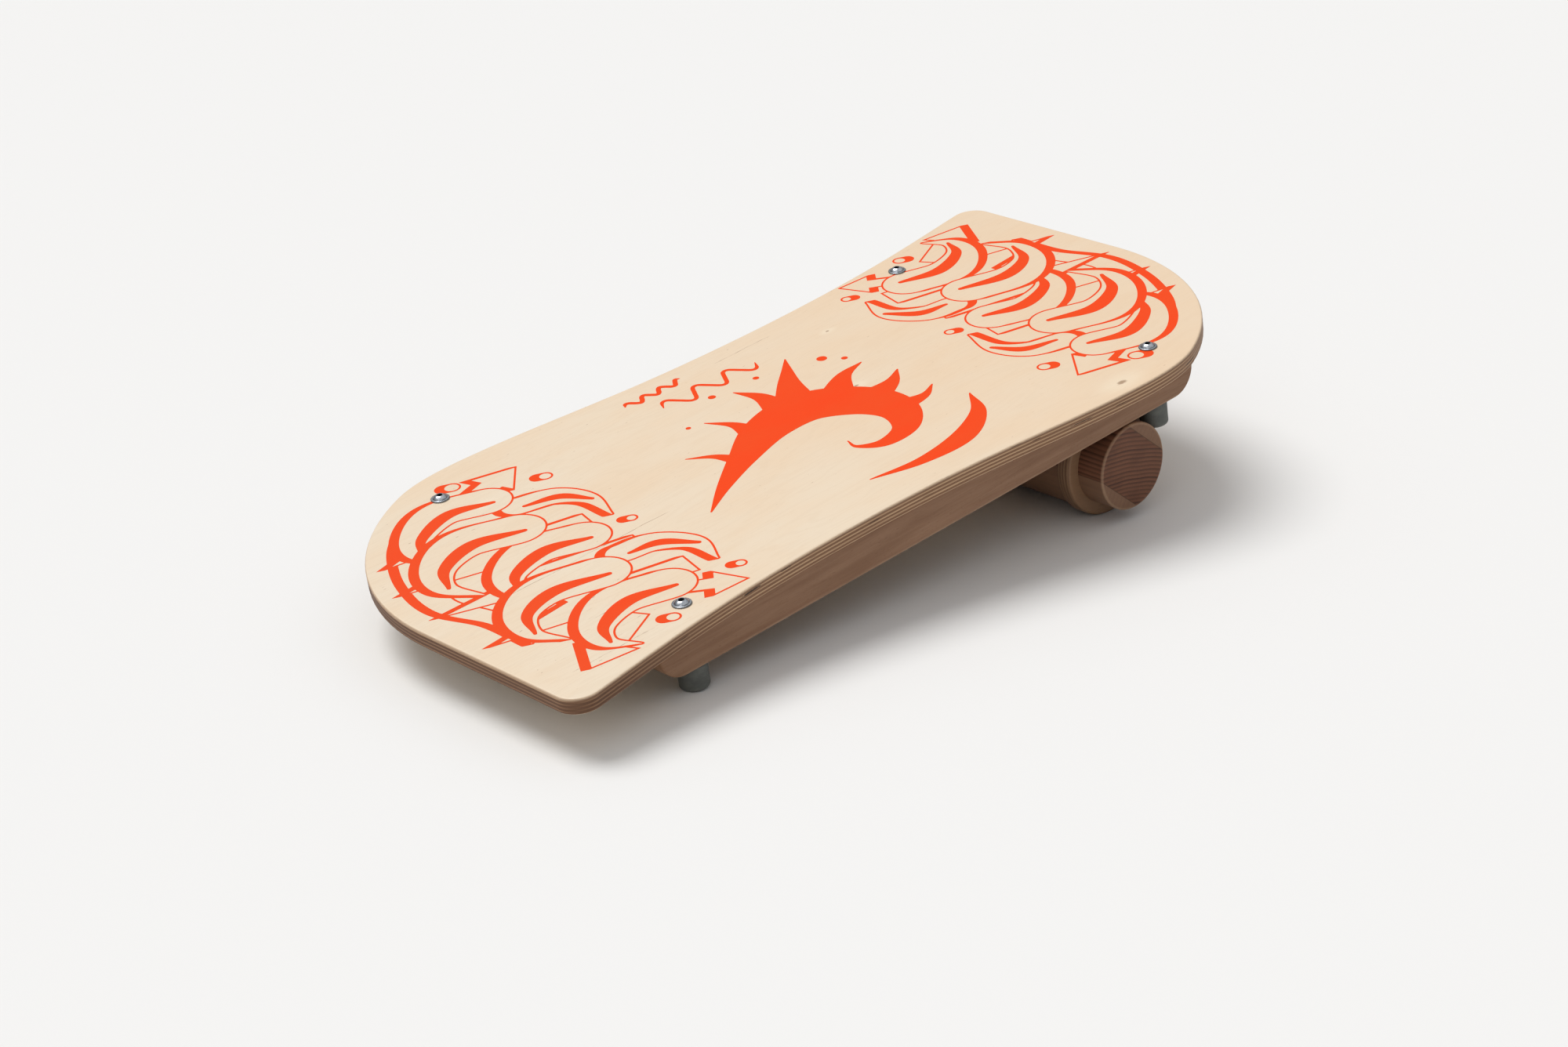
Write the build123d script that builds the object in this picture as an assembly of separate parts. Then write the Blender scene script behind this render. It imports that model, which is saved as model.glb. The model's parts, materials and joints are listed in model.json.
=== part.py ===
"""Balance board: a waisted plywood deck on two rails, with a loose roller that runs between four stop pegs.

Everything is modelled in the board's own frame first: X along the board, Y across it, Z up from the deck's
top face. It is then leaned over to its resting pose, with the roller against the right-hand pegs and the
left-hand pegs on the ground, and moved so that the ground is Z = 0.
"""
import os
from math import asin, atan2, degrees, hypot, sqrt

from build123d import *

# ---- driving dimensions, millimetres and degrees ----

# deck
DECK_HALF_LENGTH = 350.0
DECK_THICKNESS = 12.0
DECK_EDGE_ROUND = 1.5
END_TAPER = 1.0             # how far the end edge leans in towards the tight corner
TIGHT_CORNER_RADIUS = 17.0
TIGHT_CORNER_TURN = 98.5    # degrees of arc before the long edge starts
TIGHT_CORNER_START = 152.5  # Y where the end edge turns into the tight corner
WIDE_CORNER_RADIUS = 187.3
WIDE_CORNER_OFFSET = 11.4   # Y of the wide corner's centre
WIDE_CORNER_END = 115.0     # degrees round from +X where the wide corner meets the long edge
WAIST = [(248.0, 157.0), (95.0, 147.2), (-40.0, 153.2), (-165.0, 167.0)]

# rails under the long edges
RAIL_HALF_LENGTH = 258.5
RAIL_WIDTH = 21.0
RAIL_HEIGHT = 31.0
RAIL_CENTRE = 131.0
RAIL_END_ROUND = 20.0
RAIL_EDGE_ROUND = 1.5

# stop pegs, their threaded bushes and the bolts that hold them
BOLT_SPACING_X = 450.8
BOLT_SPACING_Y = 260.0
BOLT_DIAMETER = 6.0
BOLT_LENGTH = 55.0
BOLT_TIP_CHAMFER = 0.8
BOLT_CLEARANCE = 0.25       # radial, through deck and rail
THREAD_GAP = 0.05           # radial, bolt in bush
FLANGE_DIAMETER = 13.6
FLANGE_THICKNESS = 1.2
DOME_DIAMETER = 10.5
HEAD_HEIGHT = 3.3
DOME_FLAT_DIAMETER = 5.6
SOCKET_FLATS = 4.0
SOCKET_DEPTH = 2.1
PEG_DIAMETER = 21.0
PEG_HEIGHT = 18.0
PEG_FOOT_ROUND = 2.0
PEG_TOP_ROUND = 0.6
BUSH_DIAMETER = 10.0
BUSH_COLLAR_DIAMETER = 13.0
BUSH_COLLAR_THICKNESS = 1.5
BUSH_LENGTH = 14.0

# roller: a drum glued up from three staves and turned down at both ends, with a plywood disc at each shoulder
ROLLER_HALF_LENGTH = 143.0
ROLLER_END_DIAMETER = 66.0
ROLLER_END_ROUND = 1.5
DRUM_DIAMETER = 80.0
DISC_DIAMETER = 86.0
DISC_THICKNESS = 12.0
DISC_EDGE_ROUND = 2.5
DISC_BORE_GAP = 0.05
DISC_TO_RAIL_GAP = 1.0
MIDDLE_STAVE_THICKNESS = 45.0
STAVE_LEAN = 45.0           # degrees, direction of the glue planes' normal from X towards Z
CORE_DIAMETER = 12.0
CORE_HALF_LENGTH = 100.0
CORE_GAP = 0.06
RUNNING_GAP = 0.3           # roller to rail, and roller to peg

# ---- worked out from the driving dimensions ----

RAIL_TOP = -DECK_THICKNESS
RAIL_BOTTOM = RAIL_TOP - RAIL_HEIGHT
PEG_BOTTOM = RAIL_BOTTOM - PEG_HEIGHT
PEG_X = BOLT_SPACING_X / 2
PEG_Y = BOLT_SPACING_Y / 2
ROLLER_END_RADIUS = ROLLER_END_DIAMETER / 2
DISC_OUTER_FACE = RAIL_CENTRE - RAIL_WIDTH / 2 - DISC_TO_RAIL_GAP
DRUM_HALF_LENGTH = DISC_OUTER_FACE - DISC_THICKNESS
ROLLER_Z = RAIL_BOTTOM - RUNNING_GAP - ROLLER_END_RADIUS


def roller_stop_x():
    """X of the roller's axis when its end rests, less the running gap, on the rounded foot of a peg."""
    foot_x = PEG_X - PEG_DIAMETER / 2 + PEG_FOOT_ROUND
    foot_z = PEG_BOTTOM + PEG_FOOT_ROUND
    reach = ROLLER_END_RADIUS + PEG_FOOT_ROUND + RUNNING_GAP
    return foot_x - sqrt(reach**2 - (foot_z - ROLLER_Z) ** 2)


ROLLER_X = roller_stop_x()
ROLLER_TRAVEL = 2 * ROLLER_X


def lean_angle():
    """Degrees that the board leans: the ground touches the left pegs' rounded feet and the guide discs."""
    foot_x = -PEG_X - PEG_DIAMETER / 2 + PEG_FOOT_ROUND
    foot_z = PEG_BOTTOM + PEG_FOOT_ROUND
    run = ROLLER_X - foot_x
    rise = ROLLER_Z - foot_z
    drop = asin((DISC_DIAMETER / 2 - PEG_FOOT_ROUND) / hypot(run, rise))
    return degrees(drop - atan2(rise, run))


LEAN = lean_angle()


# ---- helpers ----


def upright(radius, low, high, x=0.0, y=0.0):
    """Upright cylinder from Z = low to Z = high."""
    return Pos(x, y, low) * Cylinder(radius, high - low, align=(Align.CENTER, Align.CENTER, Align.MIN))


def corners():
    """Name ending, X and Y of each of the four bolted corners."""
    for side, y in (("front", -PEG_Y), ("back", PEG_Y)):
        for end, x in (("left", -PEG_X), ("right", PEG_X)):
            yield f"{side}_{end}", x, y


# ---- deck ----


def half_outline():
    """Half of the deck's outline: right end, tight corner, waisted long edge and wide left corner."""
    end_start = (DECK_HALF_LENGTH, WIDE_CORNER_OFFSET)
    end_stop = (DECK_HALF_LENGTH - END_TAPER, TIGHT_CORNER_START)
    tight_centre = (end_stop[0] - TIGHT_CORNER_RADIUS, end_stop[1])
    tight = CenterArc(tight_centre, TIGHT_CORNER_RADIUS, 0, TIGHT_CORNER_TURN)
    wide_centre = (WIDE_CORNER_RADIUS - DECK_HALF_LENGTH, -WIDE_CORNER_OFFSET)
    wide = CenterArc(wide_centre, WIDE_CORNER_RADIUS, WIDE_CORNER_END, 180 - WIDE_CORNER_END)
    long_edge = Spline(tight @ 1, *WAIST, wide @ 0, tangents=(tight % 1, wide % 0))
    return [Line(end_start, end_stop), tight, long_edge, wide]


def deck():
    half = half_outline()
    turned = [Rot(Z=180) * edge for edge in half]
    face = make_face(Curve() + half + turned)
    slab = Pos(Z=-DECK_THICKNESS) * extrude(face, amount=DECK_THICKNESS)
    levels = slab.faces().sort_by(Axis.Z)
    slab = fillet(levels[0].edges() + levels[-1].edges(), DECK_EDGE_ROUND)
    for _, x, y in corners():
        slab -= upright(BOLT_DIAMETER / 2 + BOLT_CLEARANCE, -DECK_THICKNESS - 1, 1, x, y)
    return slab


# ---- rails ----


def rail(y):
    block = Pos(0, y, RAIL_TOP) * Box(
        2 * RAIL_HALF_LENGTH, RAIL_WIDTH, RAIL_HEIGHT, align=(Align.CENTER, Align.CENTER, Align.MAX)
    )
    lower_ends = block.edges().filter_by(Axis.Y).group_by(Axis.Z)[0]
    block = fillet(lower_ends, RAIL_END_ROUND)
    long_sides = block.faces().filter_by(Axis.Y)
    rims = [edge for side in long_sides for edge in side.edges() if edge.center().Z < RAIL_TOP - 1]
    block = fillet(rims, RAIL_EDGE_ROUND)
    for _, x, bolt_y in corners():
        if bolt_y * y > 0:
            block -= upright(BOLT_DIAMETER / 2 + BOLT_CLEARANCE, RAIL_BOTTOM - 1, RAIL_TOP + 1, x, bolt_y)
    return block


# ---- stop pegs, bushes and bolts ----


def peg(x, y):
    body = upright(PEG_DIAMETER / 2, PEG_BOTTOM, RAIL_BOTTOM, x, y)
    rims = body.edges().filter_by(GeomType.CIRCLE).sort_by(Axis.Z)
    body = fillet(rims[0], PEG_FOOT_ROUND)
    rims = body.edges().filter_by(GeomType.CIRCLE).sort_by(Axis.Z)
    body = fillet(rims[-1], PEG_TOP_ROUND)
    body -= upright(BUSH_DIAMETER / 2, RAIL_BOTTOM - BUSH_LENGTH, RAIL_BOTTOM, x, y)
    body -= upright(BUSH_COLLAR_DIAMETER / 2, RAIL_BOTTOM - BUSH_COLLAR_THICKNESS, RAIL_BOTTOM, x, y)
    return body


def bush(x, y):
    sleeve = upright(BUSH_DIAMETER / 2, RAIL_BOTTOM - BUSH_LENGTH, RAIL_BOTTOM, x, y)
    sleeve += upright(BUSH_COLLAR_DIAMETER / 2, RAIL_BOTTOM - BUSH_COLLAR_THICKNESS, RAIL_BOTTOM, x, y)
    thread = BOLT_DIAMETER / 2 + THREAD_GAP
    return sleeve - upright(thread, RAIL_BOTTOM - BUSH_LENGTH, RAIL_BOTTOM, x, y)


def bolt(x, y):
    """Flanged button-head bolt, its flange on the deck's top face."""
    flange = upright(FLANGE_DIAMETER / 2, 0, FLANGE_THICKNESS)
    flange = fillet(flange.edges().filter_by(GeomType.CIRCLE).sort_by(Axis.Z)[-1], FLANGE_THICKNESS / 2)
    dome_profile = Polyline(
        (DOME_FLAT_DIAMETER / 2, HEAD_HEIGHT),
        (0, HEAD_HEIGHT),
        (0, 0),
        (DOME_DIAMETER / 2, 0),
        (DOME_DIAMETER / 2, FLANGE_THICKNESS),
    )
    dome_edge = (DOME_DIAMETER / 2, FLANGE_THICKNESS)
    dome_top = RadiusArc(dome_edge, (DOME_FLAT_DIAMETER / 2, HEAD_HEIGHT), -DOME_DIAMETER / 2)
    head = flange + revolve(Plane.XZ * make_face(Curve() + [dome_profile, dome_top]), Axis.Z)
    socket = extrude(RegularPolygon(SOCKET_FLATS / 2, 6, major_radius=False), amount=SOCKET_DEPTH)
    head -= Pos(Z=HEAD_HEIGHT - SOCKET_DEPTH) * socket
    shank = upright(BOLT_DIAMETER / 2, -BOLT_LENGTH, 0)
    shank = chamfer(shank.edges().filter_by(GeomType.CIRCLE).sort_by(Axis.Z)[0], BOLT_TIP_CHAMFER)
    return Pos(x, y, 0) * (head + shank)


# ---- the roller's pieces ----


def along_y(shape):
    """Put a solid that was made round Z on the roller's axis."""
    return Pos(ROLLER_X, 0, ROLLER_Z) * Rot(X=90) * shape


def turned_drum():
    """The drum with both turned-down ends, before it is split into its staves; made round Z."""
    drum = Cylinder(DRUM_DIAMETER / 2, 2 * DRUM_HALF_LENGTH)
    ends = Cylinder(ROLLER_END_RADIUS, 2 * ROLLER_HALF_LENGTH)
    rims = ends.edges().filter_by(GeomType.CIRCLE)
    bore = Cylinder(CORE_DIAMETER / 2 + CORE_GAP, 2 * CORE_HALF_LENGTH + 2 * CORE_GAP)
    return drum + fillet(rims, ROLLER_END_ROUND) - bore


def staves():
    """Lower, middle and upper stave, cut apart along two parallel glue planes."""
    blank = turned_drum()
    half = MIDDLE_STAVE_THICKNESS / 2
    outside = DRUM_DIAMETER
    for name, low, high in (("lower", -outside, -half), ("middle", -half, half), ("upper", half, outside)):
        slab = Box(high - low, 2 * DRUM_DIAMETER, 3 * ROLLER_HALF_LENGTH)
        yield name, along_y(blank & (Rot(Z=STAVE_LEAN) * Pos(X=(low + high) / 2) * slab))


def guide_disc(side):
    disc = Cylinder(DISC_DIAMETER / 2, DISC_THICKNESS)
    disc = fillet(disc.edges().filter_by(GeomType.CIRCLE), DISC_EDGE_ROUND)
    disc -= Cylinder(ROLLER_END_RADIUS + DISC_BORE_GAP, DISC_THICKNESS)
    return along_y(Pos(Z=-side * (DRUM_HALF_LENGTH + DISC_THICKNESS / 2)) * disc)


def roller_core():
    return along_y(Cylinder(CORE_DIAMETER / 2, 2 * CORE_HALF_LENGTH))


# ---- assembly ----


def build():
    """Every sub-part in the board's own frame, by node name."""
    parts = {"deck": deck(), "rail_front": rail(-RAIL_CENTRE), "rail_back": rail(RAIL_CENTRE)}
    for where, x, y in corners():
        parts[f"stop_peg_{where}"] = peg(x, y)
        parts[f"peg_bush_{where}"] = bush(x, y)
        parts[f"bolt_{where}"] = bolt(x, y)
    for name, stave in staves():
        parts[f"roller_stave_{name}"] = stave
    parts["guide_disc_front"] = guide_disc(-1)
    parts["guide_disc_back"] = guide_disc(1)
    parts["roller_core"] = roller_core()
    return parts


def to_ground(parts):
    """The move that leans the board over and puts the ground's centre under it."""
    lean = Rot(Y=-LEAN)
    leaned = Compound([lean * shape for shape in parts.values()])
    box = leaned.bounding_box()
    return Pos(-box.center().X, -box.center().Y, -box.min.Z) * lean


if __name__ == "__main__":
    os.makedirs("parts", exist_ok=True)
    pieces = build()
    stand = to_ground(pieces)
    for node, shape in pieces.items():
        export_step(stand * shape, f"parts/{node}.step")
    print(f"lean {LEAN:.3f} degrees, roller travel {ROLLER_TRAVEL:.2f} mm, {len(pieces)} sub-parts")
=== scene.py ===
"""Looks of the waisted balance board: materials, the printed artwork, the studio and the camera."""

import copy
import json
import math

import bmesh
import bpy
import numpy as np
from mathutils import Matrix, Vector


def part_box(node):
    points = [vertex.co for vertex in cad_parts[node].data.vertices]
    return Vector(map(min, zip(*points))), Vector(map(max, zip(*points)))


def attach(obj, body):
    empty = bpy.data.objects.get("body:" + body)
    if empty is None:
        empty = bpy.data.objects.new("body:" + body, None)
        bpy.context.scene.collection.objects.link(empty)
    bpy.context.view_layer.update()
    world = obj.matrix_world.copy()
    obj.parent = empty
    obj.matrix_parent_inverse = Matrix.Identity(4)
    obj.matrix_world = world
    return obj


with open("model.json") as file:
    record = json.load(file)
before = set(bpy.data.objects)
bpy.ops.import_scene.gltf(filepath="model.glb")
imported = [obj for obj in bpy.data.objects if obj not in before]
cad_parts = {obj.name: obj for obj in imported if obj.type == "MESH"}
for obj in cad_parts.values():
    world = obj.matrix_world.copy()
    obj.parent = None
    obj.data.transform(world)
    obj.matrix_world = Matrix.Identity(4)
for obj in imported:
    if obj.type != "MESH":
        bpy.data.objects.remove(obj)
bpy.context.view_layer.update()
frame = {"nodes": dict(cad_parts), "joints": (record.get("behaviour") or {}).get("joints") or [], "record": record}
MM = 0.001

# ---------------------------------------------------------------- sizes in mm, places from the frame

# In the deck's place, which has its origin in the middle of the deck's top face.
DECK_ABOVE_FEET = 61.0  # rest face of a foot to the top face of the deck
DECK_THICKNESS = 12.0
PLIES = 9
RAIL_CENTRE = 131.0
RAIL_HALF_WIDTH = 10.5
RAIL_BOTTOM = -43.0
BOLT_X = 225.4
BOLT_Y = 130.0
FLANGE_RADIUS = 6.8
DOME_RADIUS = 5.25
SOCKET_RADIUS = 2.34
HEAD_TOP = 3.3

# In the roller's place, which has its origin in the middle of the roller's axis.
ROLLER_HALF_LENGTH = 143.0
ROLLER_RADIUS = 33.0
STAVE_GLUE = 22.5  # from the roller's axis to each glue plane

joints = {joint["name"]: joint for joint in frame["joints"]}
deck_along = Vector(joints["roller_travel"]["axis"]).normalized()
deck_across = Vector((0, 1, 0))
deck_up = deck_along.cross(deck_across)
lean = math.asin(deck_along.z)
feet = [Vector(m["pos_m"]) for m in frame["record"]["mounts"] if m["name"].startswith("foot_")]
deck_origin = sum(feet, Vector()) / len(feet) + deck_up * DECK_ABOVE_FEET * MM
roller_axis = Vector(joints["roller_spin"]["pos_m"])

deck_place = Matrix.Translation(deck_origin) @ Matrix(
    ((deck_along.x, 0, deck_up.x), (0, 1, 0), (deck_along.z, 0, deck_up.z))
).to_4x4()


# ---------------------------------------------------------------- a short way to write materials


class Graph:
    """One material's node tree. Each call adds a node and returns its output socket."""

    def __init__(self, name):
        self.material = bpy.data.materials.new(name)
        self.material.use_nodes = True
        self.tree = self.material.node_tree
        self.tree.nodes.clear()
        self.shader = self.tree.nodes.new("ShaderNodeBsdfPrincipled")
        output = self.tree.nodes.new("ShaderNodeOutputMaterial")
        self.tree.links.new(self.shader.outputs[0], output.inputs[0])

    def feed(self, socket, value):
        if isinstance(value, bpy.types.NodeSocket):
            self.tree.links.new(value, socket)
        else:
            socket.default_value = value

    def add(self, kind, inputs, out=0, **settings):
        node = self.tree.nodes.new("ShaderNode" + kind)
        for name, value in settings.items():
            setattr(node, name, value)
        for key, value in inputs.items():
            self.feed(node.inputs[key], value)
        return node.outputs[out]

    def maths(self, operation, a, b=0.0):
        return self.add("Math", {0: a, 1: b}, operation=operation)

    def place(self, origin, turn_y=0.0):
        """Object coordinates in mm about a point, in a frame turned about Y."""
        coordinates = self.add("TexCoord", {}, out="Object")
        inputs = {0: coordinates, 1: origin, 2: (0, turn_y, 0), 3: (MM, MM, MM)}
        return self.add("Mapping", inputs, vector_type="TEXTURE")

    def parts(self, vector):
        node = self.tree.nodes.new("ShaderNodeSeparateXYZ")
        self.tree.links.new(vector, node.inputs[0])
        return node.outputs[0], node.outputs[1], node.outputs[2]

    def facing(self):
        """How far the surface faces X, Y and Z, each from 0 to 1."""
        normal = self.add("TexCoord", {}, out="Normal")
        return self.parts(self.add("VectorMath", {0: normal}, operation="ABSOLUTE"))

    def joined(self, x, y, z):
        return self.add("CombineXYZ", {0: x, 1: y, 2: z})

    def away(self, x, y):
        """How far the point (x, y) is from (0, 0)."""
        return self.add("VectorMath", {0: self.joined(x, y, 0.0)}, out="Value", operation="LENGTH")

    def off(self, value, middle):
        """How far a value is from a middle one, on either side."""
        return self.maths("ABSOLUTE", self.maths("SUBTRACT", value, middle))

    def times(self, a, b):
        return self.maths("MULTIPLY", a, b)

    def noise(self, vector, stretch, detail=3.0, roughness=0.5, distortion=0.0):
        """Noise from 0 to 1, with stretch giving how many features there are in a mm along each axis."""
        scaled = self.add("VectorMath", {0: vector, 1: stretch}, operation="MULTIPLY")
        inputs = {"Vector": scaled, "Scale": 1.0, "Detail": detail}
        inputs |= {"Roughness": roughness, "Distortion": distortion}
        return self.add("TexNoise", inputs)

    def step(self, value, low, high, to_low=0.0, to_high=1.0):
        """to_low up to low, to_high from high, and smooth between them."""
        inputs = {0: value, 1: low, 2: high, 3: to_low, 4: to_high}
        return self.add("MapRange", inputs, interpolation_type="SMOOTHSTEP")

    def mix(self, factor, a, b, blend="MIX"):
        inputs = {0: factor, 6: a, 7: b}
        return self.add("Mix", inputs, out=2, data_type="RGBA", blend_type=blend)

    def blend(self, factor, a, b):
        return self.add("Mix", {0: factor, 2: a, 3: b}, data_type="FLOAT")

    def bump(self, height, distance):
        """A height of 1 stands for that distance, in metres."""
        inputs = {"Height": height, "Distance": distance, "Strength": 1.0}
        self.feed(self.shader.inputs["Normal"], self.add("Bump", inputs))

    def finish(self, colour, roughness, **fixed):
        """The finished material; fixed holds the shader's other values, the same all over."""
        self.feed(self.shader.inputs["Base Color"], colour)
        self.feed(self.shader.inputs["Roughness"], roughness)
        for name, value in fixed.items():
            self.shader.inputs[name.replace("_", " ")].default_value = value
        return self.material


def rgb(red, green, blue):
    return (red, green, blue, 1.0)


# ---------------------------------------------------------------- wood

BIRCH_PALE = rgb(0.80, 0.69, 0.545)
BIRCH_WARM = rgb(0.80, 0.62, 0.44)
BIRCH_STREAK = rgb(0.60, 0.44, 0.29)
PLY_LONG = rgb(0.62, 0.395, 0.225)
PLY_END = rgb(0.27, 0.135, 0.068)
GLUE_LINE = rgb(0.09, 0.045, 0.022)
BIRCH_HIGH_END = rgb(0.80, 0.575, 0.375)
KNOT = rgb(0.30, 0.17, 0.09)
KNOT_CLOUD = rgb(0.88, 0.77, 0.60)
# Painted shade inside the voids and gaps of the ply edges, which are not cut into the mesh.
VOID_SHADE = rgb(0.03, 0.015, 0.01)
GAP_SHADE = rgb(0.025, 0.012, 0.007)
RUBBED_WOOD = rgb(0.60, 0.41, 0.27)
LOW_END_SHADE = rgb(0.50, 0.42, 0.37)  # painted shade: what the low end's edge plies keep of their own colour
DISC_PALE = rgb(0.34, 0.200, 0.112)
DISC_WARM = rgb(0.29, 0.162, 0.088)
DISC_STREAK = rgb(0.16, 0.082, 0.042)
DISC_RIM = rgb(0.17, 0.095, 0.056)


def veneer(graph, place, pale, warm, streak):
    """Colour and fine height of a rotary-cut birch face, grain along X."""
    mottle = graph.noise(place, (0.006, 0.016, 0.01), detail=4, roughness=0.6)
    tone = graph.mix(graph.step(mottle, 0.30, 0.70, 0.05, 0.75), pale, warm)
    figure = graph.noise(place, (0.0032, 0.030, 0.02), detail=3, roughness=0.55, distortion=0.4)
    rings = graph.step(graph.maths("SINE", graph.times(figure, 95.0)), 0.1, 1.0)
    tone = graph.mix(graph.times(rings, 0.08), tone, streak)
    fibre = graph.noise(place, (0.045, 1.5, 1.0), detail=5, roughness=0.62)
    tone = graph.mix(graph.step(fibre, 0.45, 0.85, 0.0, 0.17), tone, streak)
    patches = graph.step(graph.noise(place, (0.010, 0.022, 0.01), detail=2), 0.42, 0.66)
    flecks = graph.noise(place, (0.10, 1.1, 1.0), detail=2, roughness=0.5)
    flecks = graph.times(graph.step(flecks, 0.64, 0.72), patches)
    tone = graph.mix(graph.times(flecks, 0.55), tone, streak)
    ticks = graph.noise(place, (0.16, 0.62, 0.5), detail=1)
    tone = graph.mix(graph.step(ticks, 0.775, 0.80, 0.0, 0.65), tone, KNOT)
    return tone, fibre


def pin_knot(graph, place, x, y, tone, at, size):
    """A small dark knot with a paler cloud around it, at a point of the face."""
    dx = graph.maths("DIVIDE", graph.maths("SUBTRACT", x, at[0]), size * 1.9)
    dy = graph.maths("DIVIDE", graph.maths("SUBTRACT", y, at[1]), size)
    ragged = graph.maths("SUBTRACT", graph.noise(place, (0.35, 0.5, 0.4), detail=3), 0.5)
    far = graph.maths("ADD", graph.away(dx, dy), graph.times(ragged, 1.1))
    tone = graph.mix(graph.step(far, 1.5, 6.5, 0.40, 0.0), tone, KNOT_CLOUD)
    return graph.mix(graph.step(far, 0.5, 1.25, 0.75, 0.0), tone, KNOT)


def check(graph, place, x, y, tone, at, half_length):
    """A hairline drying check in the face, wandering a little along the grain."""
    drift = graph.noise(graph.joined(x, 0.0, 0.0), (0.022, 1.0, 1.0), detail=3)
    middle = graph.maths("ADD", graph.times(graph.maths("SUBTRACT", drift, 0.5), 5.0), at[1])
    line = graph.step(graph.off(y, middle), 0.10, 0.42, 1.0, 0.0)
    patchy = graph.noise(place, (0.12, 0.4, 0.4), detail=3, roughness=0.7)
    line = graph.times(line, graph.step(patchy, 0.38, 0.62, 0.15, 0.8))
    fading = graph.step(graph.off(x, at[0]), half_length * 0.8, half_length, 1.0, 0.0)
    return graph.mix(graph.times(line, fading), tone, KNOT)


def plies(graph, depth, thickness, count):
    """Ply number from 0, whether it is a cross ply, and how near the next glue line is."""
    share = graph.maths("DIVIDE", graph.maths("ADD", depth, 0.05), thickness / count)
    share = graph.maths("MINIMUM", graph.maths("MAXIMUM", share, 0.001), count - 0.01)
    number = graph.maths("FLOOR", share)
    crossed = graph.maths("MODULO", number, 2.0)
    glue = graph.off(graph.maths("FRACT", share), 0.5)
    return number, crossed, glue


def layered_edge(graph, place, number, end_grain, glue, along, depth):
    """Colour and height of cut plies: smooth pale long grain, dark open end grain, glue lines."""
    layer = graph.joined(graph.times(along, 0.012), number, graph.times(depth, 0.9))
    drift = graph.add("TexNoise", {"Vector": layer, "Scale": 1.0, "Detail": 4.0, "Roughness": 0.6})
    pores = graph.noise(place, (1.6, 1.6, 2.4), detail=3, roughness=0.7)
    tone = graph.mix(end_grain, PLY_LONG, PLY_END)
    tone = graph.mix(graph.step(drift, 0.35, 0.7, 0.0, 0.6), tone, PLY_END)
    open_pores = graph.times(end_grain, graph.step(pores, 0.45, 0.7, 0.0, 0.38))
    tone = graph.mix(open_pores, tone, GLUE_LINE)
    smear = graph.add("TexNoise", {"Vector": layer, "Scale": 2.6, "Detail": 3.0})
    line = graph.times(graph.step(glue, 0.38, 0.49), graph.step(smear, 0.35, 0.62, 0.25, 0.95))
    tone = graph.mix(line, tone, GLUE_LINE)
    height = graph.blend(end_grain, 0.75, graph.step(pores, 0.3, 0.8, 0.65, 0.2))
    return tone, graph.maths("SUBTRACT", height, graph.times(line, 0.35))


def edge_gap(graph, place, along, depth, tone, at, size):
    """A gap in a cut ply, long along the edge and ragged, painted as the shade inside it."""
    dx = graph.maths("DIVIDE", graph.maths("SUBTRACT", along, at[0]), size[0])
    dz = graph.maths("DIVIDE", graph.maths("SUBTRACT", depth, at[1]), size[1])
    ragged = graph.maths("SUBTRACT", graph.noise(place, (0.30, 0.30, 1.2), detail=3), 0.5)
    far = graph.maths("ADD", graph.away(dx, dz), graph.times(ragged, 1.5))
    return graph.mix(graph.step(far, 0.65, 1.05, 0.92, 0.0), tone, GAP_SHADE)


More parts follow.
